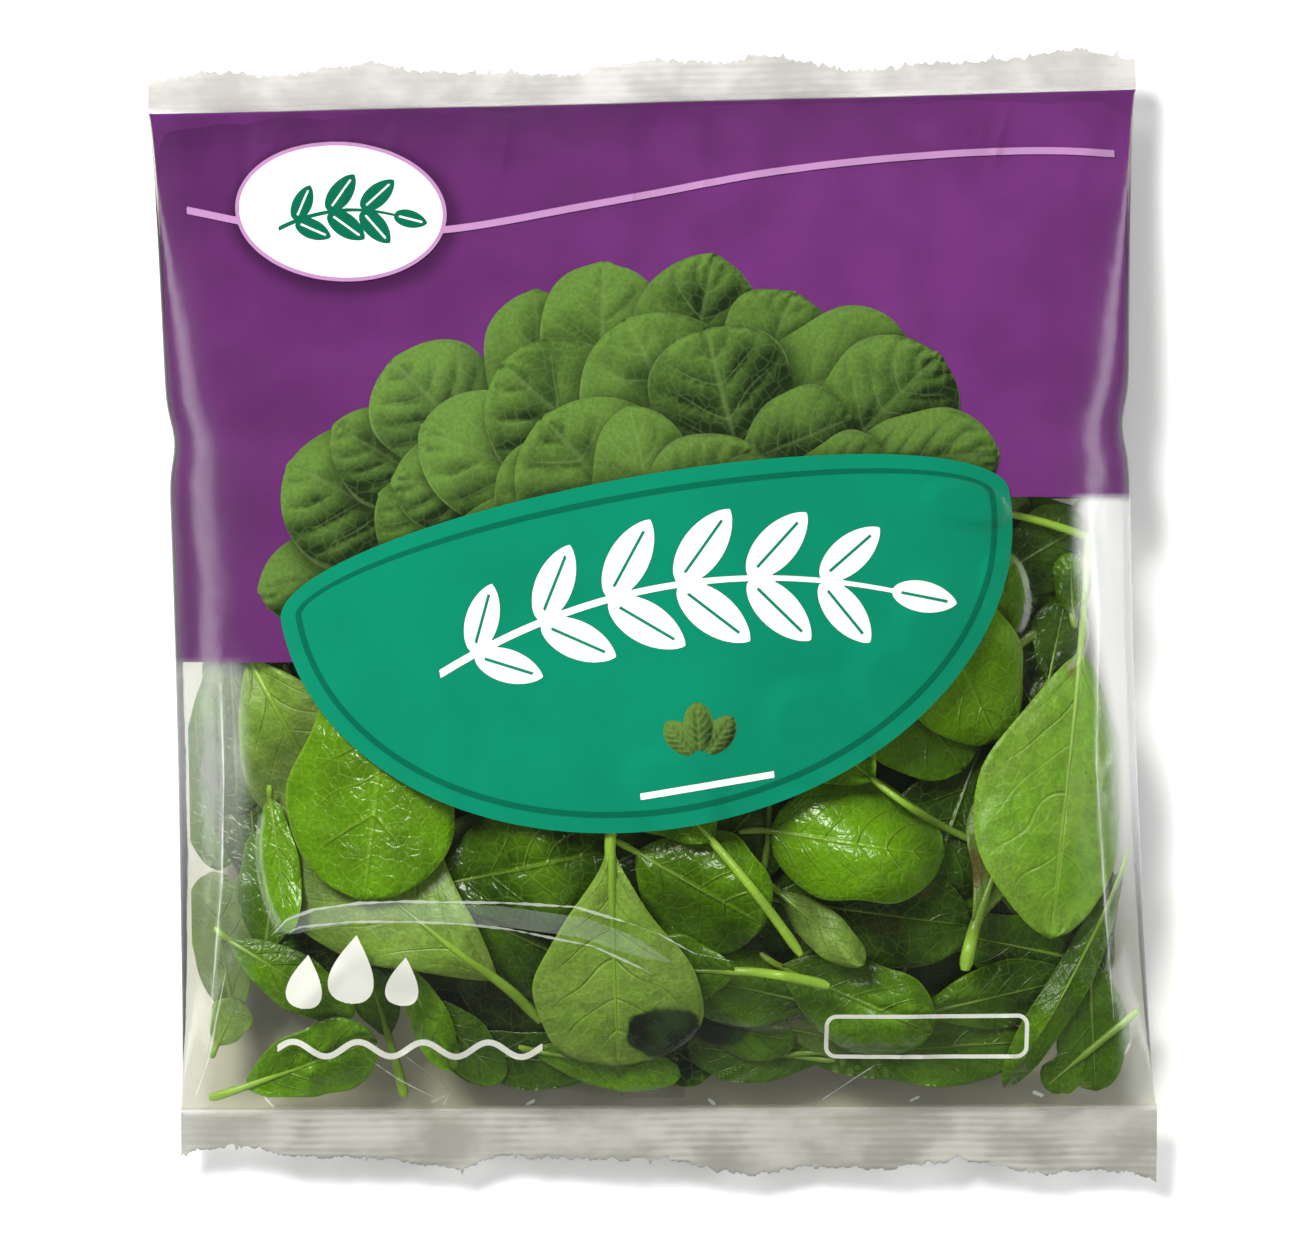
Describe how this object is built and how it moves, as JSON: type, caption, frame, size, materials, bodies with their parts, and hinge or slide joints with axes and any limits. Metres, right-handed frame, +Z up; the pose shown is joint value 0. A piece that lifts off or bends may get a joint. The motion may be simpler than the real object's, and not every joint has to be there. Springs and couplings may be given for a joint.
{
  "type": "bag of spinach",
  "caption": "Sealed clear film pillow pack filled with loose baby spinach leaves, printed upper half, crimped seals with ragged cut ends, lying on its back.",
  "frame": {"origin": "middle of the pack's bounding box, on the surface that it lies on", "axes": "+X to the pack's right, +Y to its top end seal, +Z up out of its printed front"},
  "size_m": [0.2024, 0.2289, 0.0459],
  "materials": {
    "film": "clear glossy film over green leaves",
    "print": "opaque ink under glossy film",
    "leaf": "waxy fresh leaf"
  },
  "bodies": {
    "root": {"bag": "film"}
  },
  "joints": []
}
